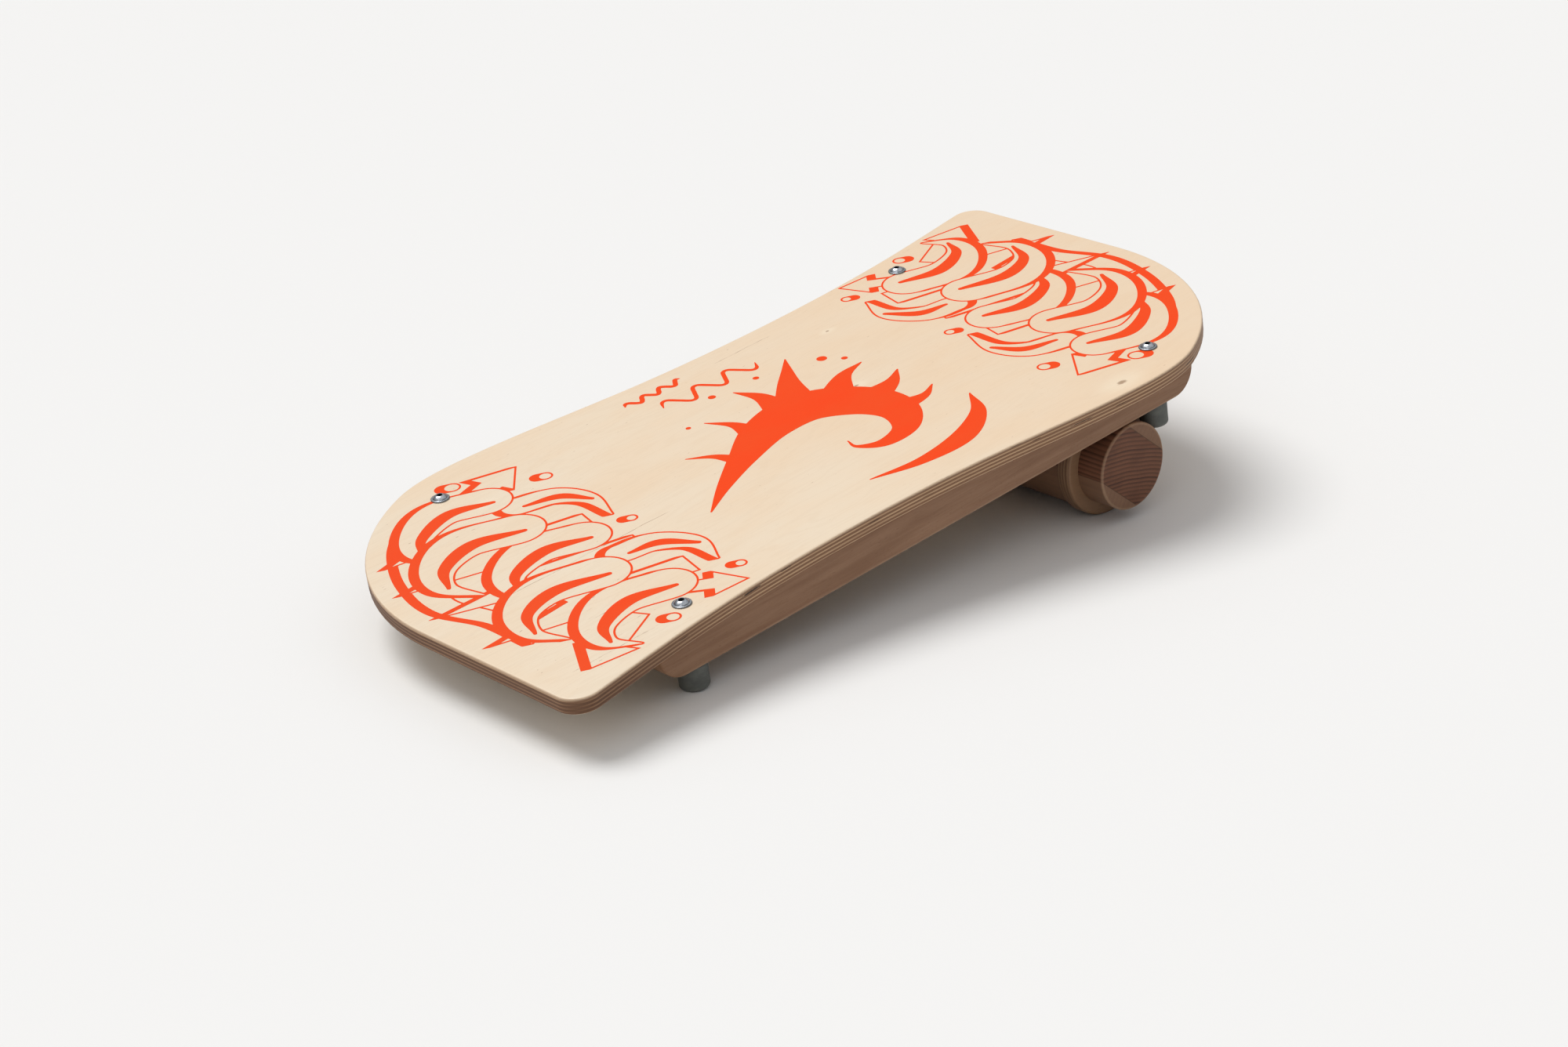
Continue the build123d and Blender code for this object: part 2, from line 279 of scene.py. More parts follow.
def deck_plywood():
    """Lacquered birch plywood: pale faces, and a layered edge with voids painted as the shade inside them, and
    painted shade on the edge at the low end.
    """
    graph = Graph("birch_plywood_deck")
    place = graph.place(deck_origin, -lean)
    x, y, z = graph.parts(place)
    faces_x, faces_y, faces_z = graph.facing()
    depth = graph.times(z, -1.0)
    number, crossed, glue = plies(graph, depth, DECK_THICKNESS, PLIES)

    tone, fibre = veneer(graph, place, BIRCH_PALE, BIRCH_WARM, BIRCH_STREAK)
    # The face turns warmer and a little darker towards the high end.
    high_end_warmth = graph.step(x, -340.0, 320.0, 0.0, 0.45)
    tone = graph.mix(high_end_warmth, tone, BIRCH_HIGH_END)
    for at, size in (((172, -153), 2.4), ((64, 8), 1.2), ((-212, 96), 1.1), ((118, 96), 0.9)):
        tone = pin_knot(graph, place, x, y, tone, at, size)
    for at, half_length in (((-215, -24), 75), ((-292, -138), 34), ((-250, -96), 22), ((60, 128), 30)):
        tone = check(graph, place, x, y, tone, at, half_length)

    end_grain = graph.blend(crossed, faces_x, faces_y)
    along = graph.maths("ADD", x, y)
    edge, edge_height = layered_edge(graph, place, number, end_grain, glue, along, depth)
    edge = graph.mix(graph.step(depth, 0.5, 2.4, 0.6, 0.0), edge, BIRCH_WARM)
    # Painted shade of small voids scattered through the ply edges.
    void = graph.noise(place, (0.035, 0.035, 0.85), detail=1)
    edge = graph.mix(graph.step(void, 0.735, 0.76, 0.0, 0.85), edge, VOID_SHADE)
    # Painted shade: the edge plies get darker towards the low end, most below the face veneer.
    low_end_shade = graph.times(graph.step(x, -335.0, -170.0, 1.0, 0.0), graph.step(depth, 0.8, 4.0))
    edge = graph.mix(low_end_shade, edge, LOW_END_SHADE, blend="MULTIPLY")
    for at, size in (
        ((-184, 3.4), (11.0, 0.75)),
        ((-150, 2.6), (7.0, 0.45)),
        ((-69, 4.6), (6.0, 0.3)),
        ((118, 6.0), (12.0, 0.4)),
        ((236, 7.3), (8.0, 0.4)),
    ):
        edge = edge_gap(graph, place, x, depth, edge, at, size)
    skin = graph.step(faces_z, 0.55, 0.9)
    colour = graph.mix(skin, edge, tone)
    rough = graph.blend(skin, 0.62, graph.step(fibre, 0.3, 0.8, 0.36, 0.47))
    graph.bump(graph.blend(skin, edge_height, graph.step(fibre, 0.3, 0.9, 0.7, 0.55)), 0.00022)
    return graph.finish(colour, rough, Specular_IOR_Level=0.35, Coat_Weight=0.06, Coat_Roughness=0.28)


def rail_corners(graph, place):
    """1 on the long lower corners of the rails, where they are rubbed pale, and 0 away from them."""
    y, z = graph.parts(place)[1:]
    beside = graph.off(graph.maths("ABSOLUTE", y), RAIL_CENTRE)
    inset = graph.maths("SUBTRACT", RAIL_HALF_WIDTH - RAIL_BOTTOM, graph.maths("SUBTRACT", beside, z))
    patchy = graph.step(graph.noise(place, (0.05, 0.3, 0.3), detail=3), 0.35, 0.6, 0.3, 1.0)
    return graph.times(graph.step(inset, 0.8, 2.6, 1.0, 0.0), patchy)


def solid_wood(name, origin, turn, grain, pale, dark, ray, seed, worn=None):
    """Plain close-grained hardwood: fine fibres and short ray flecks along the grain axis."""
    graph = Graph(name)
    own = graph.place(origin, turn)
    place = graph.add("VectorMath", {0: own, 1: (seed, seed * 1.7, seed * 0.6)}, operation="ADD")
    long, cross = (0.010, 0.16) if grain == "x" else (0.16, 0.010)
    broad = graph.noise(place, (long, cross, 0.16), detail=4, roughness=0.6, distortion=0.3)
    long, cross = (0.05, 1.7) if grain == "x" else (1.7, 0.05)
    fibre = graph.noise(place, (long, cross, 1.7), detail=4, roughness=0.65)
    long, cross = (0.28, 2.1) if grain == "x" else (2.1, 0.28)
    flecks = graph.noise(place, (long, cross, 2.1), detail=1)
    tone = graph.mix(graph.step(broad, 0.3, 0.7), pale, dark)
    tone = graph.mix(graph.step(fibre, 0.4, 0.8, 0.0, 0.42), tone, dark)
    tone = graph.mix(graph.step(flecks, 0.66, 0.74, 0.0, 0.55), tone, ray)
    if worn:
        tone = graph.mix(graph.times(worn(graph, own), 0.4), tone, RUBBED_WOOD)
    graph.bump(graph.step(fibre, 0.25, 0.85, 0.6, 0.35), 0.00016)
    rough = graph.step(fibre, 0.3, 0.8, 0.50, 0.62)
    return graph.finish(tone, rough, Specular_IOR_Level=0.28)


def ringed_wood(name, pith, spacing, early, late, contrast):
    """Roller stave: growth rings about a pith line along the roller, glue lines and rubbed end rims."""
    graph = Graph(name)
    place = graph.place(roller_axis)
    x, y, z = graph.parts(place)
    wander = graph.noise(place, (0.022, 0.004, 0.022), detail=1)
    radius = graph.away(graph.maths("SUBTRACT", x, pith[0]), graph.maths("SUBTRACT", z, pith[1]))
    radius = graph.maths("ADD", radius, graph.times(wander, 5.5))
    year = graph.maths("DIVIDE", radius, spacing)
    ring = graph.maths("FRACT", year)
    strength = graph.add("TexWhiteNoise", {"W": graph.maths("FLOOR", year)}, noise_dimensions="1D")
    late_wood = graph.times(graph.step(ring, 0.25, 0.86), graph.step(ring, 0.93, 1.0, 1.0, 0.0))
    late_wood = graph.times(late_wood, graph.blend(strength, 0.45, 1.0))
    fibre = graph.noise(place, (1.9, 0.03, 1.9), detail=4, roughness=0.65)
    tone = graph.mix(graph.times(late_wood, contrast), early, late)
    tone = graph.mix(graph.step(fibre, 0.42, 0.8, 0.0, 0.35), tone, late)
    broad = graph.noise(place, (0.05, 0.012, 0.05), detail=3)
    tone = graph.mix(graph.step(broad, 0.35, 0.75, 0.0, 0.3), tone, late)

    normal = (deck_along + deck_up).normalized()
    across = graph.add("VectorMath", {0: place, 1: normal}, out="Value", operation="DOT_PRODUCT")
    glue = graph.step(graph.off(graph.maths("ABSOLUTE", across), STAVE_GLUE), 0.10, 0.45, 0.75, 0.0)
    tone = graph.mix(glue, tone, GLUE_LINE)
    inset = graph.maths("ADD", graph.away(x, z), graph.maths("ABSOLUTE", y))
    inset = graph.maths("SUBTRACT", ROLLER_RADIUS + ROLLER_HALF_LENGTH, inset)
    tone = graph.mix(graph.step(inset, 0.7, 2.2, 0.35, 0.0), tone, RUBBED_WOOD)

    turned = graph.noise(place, (0.01, 1.3, 0.01), detail=3, roughness=0.6)
    height = graph.step(fibre, 0.25, 0.85, 0.6, 0.25)
    height = graph.maths("ADD", height, graph.times(late_wood, 0.15))
    height = graph.maths("ADD", height, graph.times(turned, 0.25))
    graph.bump(graph.maths("SUBTRACT", height, graph.times(glue, 0.3)), 0.0002)
    return graph.finish(tone, graph.blend(late_wood, 0.62, 0.50), Specular_IOR_Level=0.28)


def disc_plywood(name, middle_y):
    """Plywood disc: plies across the roller, and a rim that is darker than its faces."""
    graph = Graph(name)
    place = graph.place(roller_axis + Vector((0, middle_y, 0)))
    x, y, z = graph.parts(place)
    faces_x, faces_y, faces_z = graph.facing()
    depth = graph.maths("ADD", y, DECK_THICKNESS / 2)
    number, crossed, glue = plies(graph, depth, DECK_THICKNESS, PLIES)
    face = veneer(graph, place, DISC_PALE, DISC_WARM, DISC_STREAK)[0]
    end_grain = graph.blend(crossed, faces_x, faces_z)
    along = graph.maths("ADD", x, z)
    edge, edge_height = layered_edge(graph, place, number, end_grain, glue, along, depth)
    edge = graph.mix(0.55, edge, DISC_RIM)
    skin = graph.step(faces_y, 0.6, 0.9)
    graph.bump(graph.blend(skin, edge_height, 0.7), 0.0002)
    rough = graph.blend(skin, 0.55, 0.48)
    return graph.finish(graph.mix(skin, edge, face), rough, Specular_IOR_Level=0.3)


# ---------------------------------------------------------------- rubber, metal and ink


def grey_rubber():
    """Matt moulded rubber, grey-green, with a pale bloom and a scuffed foot."""
    graph = Graph("peg_rubber_grey")
    place = graph.place(deck_origin, -lean)
    grain = graph.noise(place, (1.6, 1.6, 1.6), detail=4, roughness=0.7)
    bloom = graph.noise(place, (0.10, 0.10, 0.16), detail=4, roughness=0.6)
    tone = graph.mix(graph.step(bloom, 0.35, 0.7), rgb(0.100, 0.108, 0.098), rgb(0.150, 0.156, 0.142))
    tone = graph.mix(graph.step(grain, 0.55, 0.8, 0.0, 0.35), tone, rgb(0.06, 0.066, 0.06))
    above_foot = graph.maths("ADD", graph.parts(place)[2], DECK_ABOVE_FEET)
    scuffed = graph.maths("ADD", above_foot, graph.times(bloom, 3.0))
    scuffed = graph.step(scuffed, 1.6, 4.6, 0.5, 0.0)
    tone = graph.mix(scuffed, tone, rgb(0.23, 0.225, 0.205))
    graph.bump(grain, 0.00018)
    return graph.finish(tone, graph.step(bloom, 0.3, 0.7, 0.62, 0.78))


def bolt_painted_shade(graph, place):
    """Painted shade on a bolt's head: most in its socket, some in the crease round the dome, and painted shade and
    dark reflection on the flange's rim.
    """
    x, y, z = graph.parts(place)
    dx = graph.maths("SUBTRACT", graph.maths("ABSOLUTE", x), BOLT_X)
    dy = graph.maths("SUBTRACT", graph.maths("ABSOLUTE", y), BOLT_Y)
    out = graph.away(dx, dy)
    socket = graph.step(out, SOCKET_RADIUS - 0.05, SOCKET_RADIUS + 0.05, 0.92, 0.0)
    socket = graph.times(socket, graph.step(z, HEAD_TOP - 0.5, HEAD_TOP - 0.05, 1.0, 0.0))
    patchy = graph.noise(place, (0.9, 0.9, 0.9), detail=3)
    crease = graph.maths("ADD", graph.off(out, DOME_RADIUS), graph.times(patchy, 0.3))
    crease = graph.step(crease, 0.2, 0.6, 0.6, 0.0)
    rim = graph.step(out, FLANGE_RADIUS - 0.7, FLANGE_RADIUS - 0.1, 0.0, 0.65)
    return graph.maths("MAXIMUM", socket, graph.maths("MAXIMUM", crease, rim))


def plated_steel(name, tint, dull, rough_low, rough_high):
    """Steel with a cloudy surface, fine scratches, and painted shade on the heads of the bolts."""
    graph = Graph(name)
    place = graph.place(deck_origin, -lean)
    cloud = graph.noise(place, (0.5, 0.5, 0.5), detail=4, roughness=0.65)
    scratch = graph.noise(place, (0.5, 5.0, 2.0), detail=5, roughness=0.7, distortion=0.4)
    tone = graph.mix(graph.step(cloud, 0.35, 0.7), tint, dull)
    tone = graph.mix(graph.step(scratch, 0.6, 0.75, 0.0, 0.4), tone, rgb(0.35, 0.36, 0.38))
    bolt_shade_mask = bolt_painted_shade(graph, place)
    # Painted shade: near-black in the bolts' sockets, in the crease round each dome and on the flange rims.
    tone = graph.mix(bolt_shade_mask, tone, rgb(0.03, 0.03, 0.032))
    rough = graph.blend(graph.step(scratch, 0.4, 0.75), rough_low, rough_high)
    rough = graph.blend(bolt_shade_mask, rough, 0.6)
    graph.bump(graph.step(scratch, 0.45, 0.75, 0.6, 0.4), 0.00003)
    return graph.finish(tone, rough, Metallic=1.0)


def orange_ink():
    """Screen-printed ink: even orange, a little duller at the low end, with the grain just showing."""
    graph = Graph("orange_ink")
    place = graph.place(deck_origin, -lean)
    cloud = graph.noise(place, (0.012, 0.02, 0.02), detail=3)
    fibre = graph.noise(place, (0.05, 1.5, 1.0), detail=4, roughness=0.6)
    tone = graph.mix(graph.step(cloud, 0.3, 0.7), rgb(0.87, 0.056, 0.002), rgb(0.84, 0.066, 0.005))
    low_end = graph.step(graph.parts(place)[0], -330.0, -120.0, 0.35, 0.0)
    tone = graph.mix(low_end, tone, rgb(0.78, 0.080, 0.020))
    tone = graph.mix(graph.step(fibre, 0.5, 0.85, 0.0, 0.14), tone, rgb(0.95, 0.20, 0.05))
    graph.bump(graph.step(fibre, 0.3, 0.9, 0.7, 0.5), 0.00012)
    return graph.finish(tone, graph.step(fibre, 0.3, 0.8, 0.42, 0.52), Specular_IOR_Level=0.12)


# ---------------------------------------------------------------- the printed artwork

INK_GRID = 0.5  # mm between the points where a design is worked out
INK_LINE = 1.5  # width of an outline
INK_SHADOW = (-3.0, -5.0)  # from a form to the far end of its shadow
SHADOW_STEPS = 9  # copies of a round form that make up its shadow
SHARP_SHADOW_STEPS = 28  # the same for a form with corners
INK_THICKNESS = 0.10  # above the wood
INK_SUNK = 0.05  # below the wood's face, so that no light gets in under the ink
INK_TOLERANCE = 0.035  # how far an outline may be from the worked-out one
INK_UNDER = 0.4  # how far the ink goes in under the bolts' flanges
REACH = 9.0  # how far from a stroke its distance is worked out


def smooth_path(points, steps=12):
    """A Catmull-Rom curve through the points, steps to a span."""
    known = np.array(points, float)
    known = np.vstack([2 * known[0] - known[1], known, 2 * known[-1] - known[-2]])
    t = np.linspace(0, 1, steps, endpoint=False)[:, None]
    spans = []
    for a, b, c, d in zip(known, known[1:], known[2:], known[3:]):
        cubic = (3 * b - a - 3 * c + d) * t**3 + (2 * a - 5 * b + 4 * c - d) * t**2
        spans.append(0.5 * (cubic + (c - a) * t + 2 * b))
    return np.vstack([*spans, known[-2:-1]])


class Design:
    """A flat design as a field that is below 0 where there is ink, in mm."""

    def __init__(self, low, high):
        self.x = np.arange(low[0], high[0], INK_GRID)
        self.y = np.arange(low[1], high[1], INK_GRID)
        self.ink = np.full((len(self.y), len(self.x)), REACH)

    def near(self, x0, x1, y0, y1, reach):
        """The part of the grid within reach of a box, and its coordinates."""
        columns = slice(*np.searchsorted(self.x, (min(x0, x1) - reach, max(x0, x1) + reach)))
        rows = slice(*np.searchsorted(self.y, (min(y0, y1) - reach, max(y0, y1) + reach)))
        return (rows, columns), *np.meshgrid(self.x[columns], self.y[rows])

    def ribbon(self, points, shift=(0, 0)):
        """Distance to a stroke through (x, y, half width) points, as a chain of round cones."""
        found = np.full(self.ink.shape, REACH)
        path = smooth_path(points) + (*shift, 0)
        for (x0, y0, w0), (x1, y1, w1) in zip(path, path[1:]):
            part, gx, gy = self.near(x0, x1, y0, y1, max(w0, w1) + REACH)
            dx, dy = x1 - x0, y1 - y0
            length = math.hypot(dx, dy) + 1e-9
            widening = min(max((w1 - w0) / length, -0.95), 0.95)
            ahead = ((gx - x0) * dx + (gy - y0) * dy) / length
            beside = np.abs((gx - x0) * dy - (gy - y0) * dx) / length
            ahead = ahead + beside * widening / math.sqrt(1 - widening**2)
            t = np.clip(ahead / length, 0, 1)
            away = np.hypot(gx - x0 - t * dx, gy - y0 - t * dy) - w0 - t * (w1 - w0)
            found[part] = np.minimum(found[part], away)
        return found

    def blade(self, corners):
        """Distance to a convex polygon, its corners anticlockwise."""
        gx, gy = np.meshgrid(self.x, self.y)
        sides = []
        for (x0, y0), (x1, y1) in zip(corners, corners[1:] + corners[:1]):
            cross = (y1 - y0) * (gx - x0) - (x1 - x0) * (gy - y0)
            sides.append(cross / math.hypot(x1 - x0, y1 - y0))
        return np.maximum.reduce(sides)

    def arrow(self, arrow, shift=(0, 0)):
        """Distance to an arrow given by its start, its tip and half its shaft's width."""
        start, tip, half = arrow
        start, tip = Vector(start) + Vector(shift), Vector(tip) + Vector(shift)
        ahead = (tip - start).normalized()
        side = Vector((-ahead.y, ahead.x)) * half
        neck = tip - ahead * 2.4 * half
        barb = neck - ahead * 0.5 * half
        shaft = [start - side * 0.8, neck + ahead - side, neck + ahead + side, start + side * 0.8]
        head = [barb - side * 2, tip, barb + side * 2]
        return self.shard((shaft, head))

    def shard(self, blades, shift=(0, 0)):
        """Distance to a jagged form made of several blades."""
        moved = [[(x + shift[0], y + shift[1]) for x, y in blade] for blade in blades]
        return np.minimum.reduce([self.blade(blade) for blade in moved])

    def solid(self, *points):
        """A stroke with ink all over."""
        self.ink = np.minimum(self.ink, self.ribbon(points))

    def outlined(self, form, what, steps=SHADOW_STEPS):
        """Drawn over what is there: a thick shadow to one side, a bare inside, a thin outline."""
        body = form(what)
        for share in np.linspace(0, 1, steps + 1)[1:]:
            cast = form(what, (INK_SHADOW[0] * share, INK_SHADOW[1] * share))
            self.ink = np.minimum(self.ink, cast - INK_LINE / 2)
        self.ink = np.maximum(self.ink, -body)
        self.ink = np.minimum(self.ink, np.abs(body) - INK_LINE / 2)

    def cleared(self, holes, radius):
        """The same design with no ink within radius of the holes."""
        gx, gy = np.meshgrid(self.x, self.y)
        other = copy.copy(self)
        for x, y in holes:
            other.ink = np.maximum(other.ink, radius - np.hypot(gx - x, gy - y))
        return other

    def drops(self, drops, outlined=True):
        """Round drops, each given by its middle and its radius."""
        for x, y, radius in drops:
            dot = [(x, y, radius), (x + 0.1, y, radius)]
            if outlined:
                self.outlined(self.ribbon, dot)
            else:
                self.solid(*dot)


def crescent(stroke, share=0.34):
    """A thinner stroke that runs down the inside of another, a little to its right."""
    count = len(stroke) - 1
    points = []
    for i, (x, y, w) in enumerate(stroke[:count]):
        thick = share * w * math.sin(math.pi * (i + 0.35) / (count + 0.1))
        points.append((x + 0.30 * w, y + 0.16 * w, max(thick, 0.3)))
    return points


WIDE_CORNER_CENTRE = (8.4, 77.3)  # of the deck's wide corner, in the side print's own place
WIDE_CORNER_REACH = 166.0  # how far from it the print may lie


def inside_corner(stroke):
    """The stroke with its points pulled in to follow the deck's wide corner."""
    pulled = []
    for x, y, w in stroke:
        dx, dy = x - WIDE_CORNER_CENTRE[0], y - WIDE_CORNER_CENTRE[1]
        share = min(1.0, (WIDE_CORNER_REACH - w) / max(math.hypot(dx, dy), 1.0))
        if dx > 0:
            share = 1.0
        pulled.append((WIDE_CORNER_CENTRE[0] + dx * share, WIDE_CORNER_CENTRE[1] + dy * share, w))
    return pulled


def curls_design():
    """The side print: flame-like curls over jagged shards, with arrows and drops, all shadowed."""
    design = Design((-158, -114), (158, 104))
    swell = [(-122, -36, 1), (-96, -62, 7), (-52, -80, 10), (-4, -80, 9), (40, -70, 7), (84, -76, 1)]
    design.outlined(design.ribbon, inside_corner(swell))
    for x, y, tip in (
        (20, -20, (6, -90)),
        (-84, -10, (-80, -70)),
        (72, -20, (66, -92)),
        (-34, -20, (-40, -86)),
    ):
        shaft = [(x - 20, y - 8), (x + 2, y - 8), (x + 30, y + 72), (x + 6, y + 78)]
        point = [tip, (x + 20, y + 2), (x - 12, y + 2)]
        design.outlined(design.shard, (shaft, point), SHARP_SHADOW_STEPS)
    for arrow in (
        ((-108, 10), (-126, 77), 10),
        ((112, -10), (141, -74), 10),
        ((105, 22), (138, 63), 8),
    ):
        design.outlined(design.arrow, arrow, SHARP_SHADOW_STEPS)
    for curl in (
        [(40, 38, 13), (46, 60, 13), (70, 76, 8), (100, 70, 1)],
        [(-76, 40, 13), (-66, 64, 12), (-42, 76, 7), (-10, 70, 1)],
        [(98, 26, 21), (88, -6, 20), (102, -36, 13), (124, -46, 7), (144, -34, 1)],
        [(-2, 36, 21), (-14, 6, 20), (-2, -26, 13), (20, -38, 7), (42, -30, 1)],
        [(48, 10, 22), (36, -26, 20), (48, -56, 13), (74, -68, 7), (100, -58, 1)],
        [(-102, 30, 20), (-114, 0, 19), (-100, -32, 13), (-78, -46, 7), (-52, -38, 1)],
        [(-50, 16, 22), (-64, -18, 21), (-50, -50, 14), (-24, -64, 8), (6, -54, 1)],
    ):
        curl = inside_corner(curl)
        design.outlined(design.ribbon, curl)
        design.solid(*crescent(curl))
    design.drops(((-96, 80, 5), (135, 0, 5), (-140, 30, 6), (6, 74, 4), (118, 74, 4)))
    return design


def splash_design():
    """The middle print: one solid breaking wave with its spray."""
    design = Design((-137, -136), (112, 102))
    design.solid(
        (-129, -50, 0.6), (-100, -30, 5), (-62, -8, 11), (-20, 12, 19), (20, 14, 24), (48, -12, 22),
        (54, -44, 16), (38, -70, 10), (12, -76, 6), (-4, -64, 2), (-2, -52, 0.5),
    )
    for finger in (
        ((20, 25, 16), (38, 52, 9), (54, 72, 4), (66, 87, 0.5)),
        ((6, 26, 12), (12, 54, 6), (6, 78, 0.5)),
        ((-30, 16, 10), (-30, 38, 4), (-40, 58, 0.5)),
        ((44, 8, 14), (70, 28, 6), (94, 34, 0.5)),
        ((56, -16, 14), (82, -10, 6), (100, 2, 0.5)),
        ((58, -44, 10), (80, -46, 4), (96, -38, 0.5)),
        ((-66, -4, 6), (-72, 12, 3), (-86, 26, 0.5)),
        ((-34, -108, 0.6), (6, -118, 5), (48, -116, 9), (82, -98, 6), (100, -72, 0.6)),
    ):
        design.solid(*finger)
    design.drops(((82, 64, 4), (92, 50, 2.5), (-8, 86, 3), (32, 82, 2.5), (-52, 62, 2)), outlined=False)
    return design


def ripples_design():
    """The small print: two wavy lines."""
    design = Design((-64, 84), (60, 144))
    count = 18
    for start, end, middle, height, wave, half in ((-55, 0, 129, 4, 5.3, 1.9), (-40, 50, 103, 9, 6, 1.7)):
        line = []
        for i in range(count + 1):
            taper = min(1.0, (min(i, count - i) + 0.3) * 0.7)
            x = start + (end - start) * i / count
            line.append((x, middle + height * math.sin(i * math.tau / wave), half * taper))
        design.solid(*line)
    return design


def outlines(design):
    """Closed outlines of the ink, by marching squares, with the ink on their left."""
    field, inside = design.ink, design.ink < 0
    whole = inside[:-1, :-1].astype(int) + inside[1:, :-1] + inside[:-1, 1:] + inside[1:, 1:]
    following = {}
    for row, column in zip(*np.nonzero((whole > 0) & (whole < 4))):
        corners = ((row, column), (row, column + 1), (row + 1, column + 1), (row + 1, column))
        sides = [(corners[k], corners[(k + 1) % 4]) for k in range(4)]
        joined = sum(field[c] for c in corners) < 0
        for k, (a, b) in enumerate(sides):
            if inside[a] and not inside[b]:
                leaving = [m % 4 for m in ((k + 1, k + 2, k + 3) if joined else (k + 3, k + 2, k + 1))]
                ends = [sides[m] for m in leaving if not inside[sides[m][0]] and inside[sides[m][1]]]
                following[frozenset((a, b))] = frozenset(ends[0])
    loops = []
    while following:
        start, side = following.popitem()
        loop = [start]
        while side != start:
            loop.append(side)
            side = following.pop(side)
        loops.append(np.array([crossing(design, *side) for side in loop]))
    return [thinned(loop) for loop in loops]


def crossing(design, a, b):
    """Where the field passes 0 between two grid points."""
    share = design.ink[a] / (design.ink[a] - design.ink[b])
    x = design.x[a[1]] + share * (design.x[b[1]] - design.x[a[1]])
    y = design.y[a[0]] + share * (design.y[b[0]] - design.y[a[0]])
    return x, y


def thinned(loop):
    """The loop without the points that lie on a straight line within the tolerance."""
    keep = np.zeros(len(loop), bool)
    half = len(loop) // 2
    keep[[0, half]] = True
    spans = [(0, half), (half, len(loop))]
    closed = np.vstack([loop, loop[:1]])
    while spans:
        first, last = spans.pop()
        if last - first < 2:
            continue
        chord = closed[last] - closed[first]
        away = closed[first + 1 : last] - closed[first]
        off = np.abs(away[:, 0] * chord[1] - away[:, 1] * chord[0]) / (np.hypot(*chord) + 1e-9)
        if off.max() > INK_TOLERANCE:
            middle = first + 1 + int(off.argmax())
            keep[middle] = True
            spans += [(first, middle), (middle, last)]
    return loop[keep]


def printed(name, design, centre=(0, 0), turn=0.0):
    """A thin layer of ink in the shape of the design, laid on the deck round the bolts."""
    onto_deck = Matrix.Translation((*centre, 0)) @ Matrix.Rotation(turn, 4, "Z")
    bolts = [Vector((x, y, 0)) for x in (-BOLT_X, BOLT_X) for y in (-BOLT_Y, BOLT_Y)]
    holes = [(onto_deck.inverted() @ bolt)[:2] for bolt in bolts]
    design = design.cleared(holes, FLANGE_RADIUS - INK_UNDER)
    curve = bpy.data.curves.new(name, "CURVE")
    curve.dimensions = "2D"
    curve.fill_mode = "BOTH"
    curve.extrude = (INK_THICKNESS + INK_SUNK) / 2 * MM
    for loop in outlines(design):
        if len(loop) < 3:
            continue
        spline = curve.splines.new("POLY")
        spline.points.add(len(loop) - 1)
        flat = np.column_stack([loop * MM, np.zeros(len(loop)), np.ones(len(loop))])
        spline.points.foreach_set("co", flat.ravel())
        spline.use_cyclic_u = True
    filled = bpy.data.objects.new(name + "_outline", curve)
    mesh = bpy.data.meshes.new_from_object(filled)
    bpy.data.objects.remove(filled)
    bm = bmesh.new()
    bm.from_mesh(mesh)
    bmesh.ops.remove_doubles(bm, verts=bm.verts, dist=0.00001)
    bmesh.ops.recalc_face_normals(bm, faces=bm.faces)
    bm.to_mesh(mesh)
    bm.free()
    lift = (INK_THICKNESS - INK_SUNK) / 2 * MM
    laid = Matrix.Translation((centre[0] * MM, centre[1] * MM, lift)) @ Matrix.Rotation(turn, 4, "Z")
    mesh.transform(deck_place @ laid)
    mesh.name = name
    piece = bpy.data.objects.new(name, mesh)
    bpy.context.scene.collection.objects.link(piece)
    mesh.materials.clear()
    mesh.materials.append(ink)
    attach(piece, "board")
    return piece


ink = orange_ink()
curls = curls_design()
printed("print_left", curls, centre=(-240, -3), turn=-math.pi / 2)
printed("print_right", curls, centre=(241, 8), turn=math.pi / 2)
printed("print_middle", splash_design())
printed("print_ripples", ripples_design())


# ---------------------------------------------------------------- materials on the CAD nodes


def wear(node, material):
    """Gives a CAD node its material."""
    mesh = frame["nodes"][node].data
    mesh.materials.clear()
    mesh.materials.append(material)


RAIL_COLOURS = (rgb(0.33, 0.185, 0.108), rgb(0.25, 0.130, 0.071), rgb(0.150, 0.070, 0.036))
CORE_COLOURS = (rgb(0.26, 0.145, 0.084), rgb(0.20, 0.105, 0.058), rgb(0.12, 0.056, 0.030))
RED_STAVE = (rgb(0.225, 0.095, 0.052), rgb(0.060, 0.020, 0.010))
PLAIN_STAVE = (rgb(0.265, 0.145, 0.086), rgb(0.170, 0.085, 0.047))

wear("deck", deck_plywood())
for number, side in enumerate(("front", "back")):
    wood = solid_wood(
        f"rail_wood_{side}", deck_origin, -lean, "x", *RAIL_COLOURS, 31.0 * number, worn=rail_corners
    )
    wear(f"rail_{side}", wood)
    low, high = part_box(f"guide_disc_{side}")
    wear(f"guide_disc_{side}", disc_plywood(f"disc_plywood_{side}", (low.y + high.y) / 2 - roller_axis.y))

for stave, pith, spacing, colours, contrast in (
    ("middle", (-22.0, -145.0), 3.2, RED_STAVE, 1.0),
    ("upper", (90.0, -40.0), 4.2, PLAIN_STAVE, 0.35),
    ("lower", (-110.0, 30.0), 4.6, PLAIN_STAVE, 0.4),
):
    wear(f"roller_stave_{stave}", ringed_wood(f"stave_wood_{stave}", pith, spacing, *colours, contrast))
wear("roller_core", solid_wood("core_dowel_wood", roller_axis, 0.0, "y", *CORE_COLOURS, 77.0))

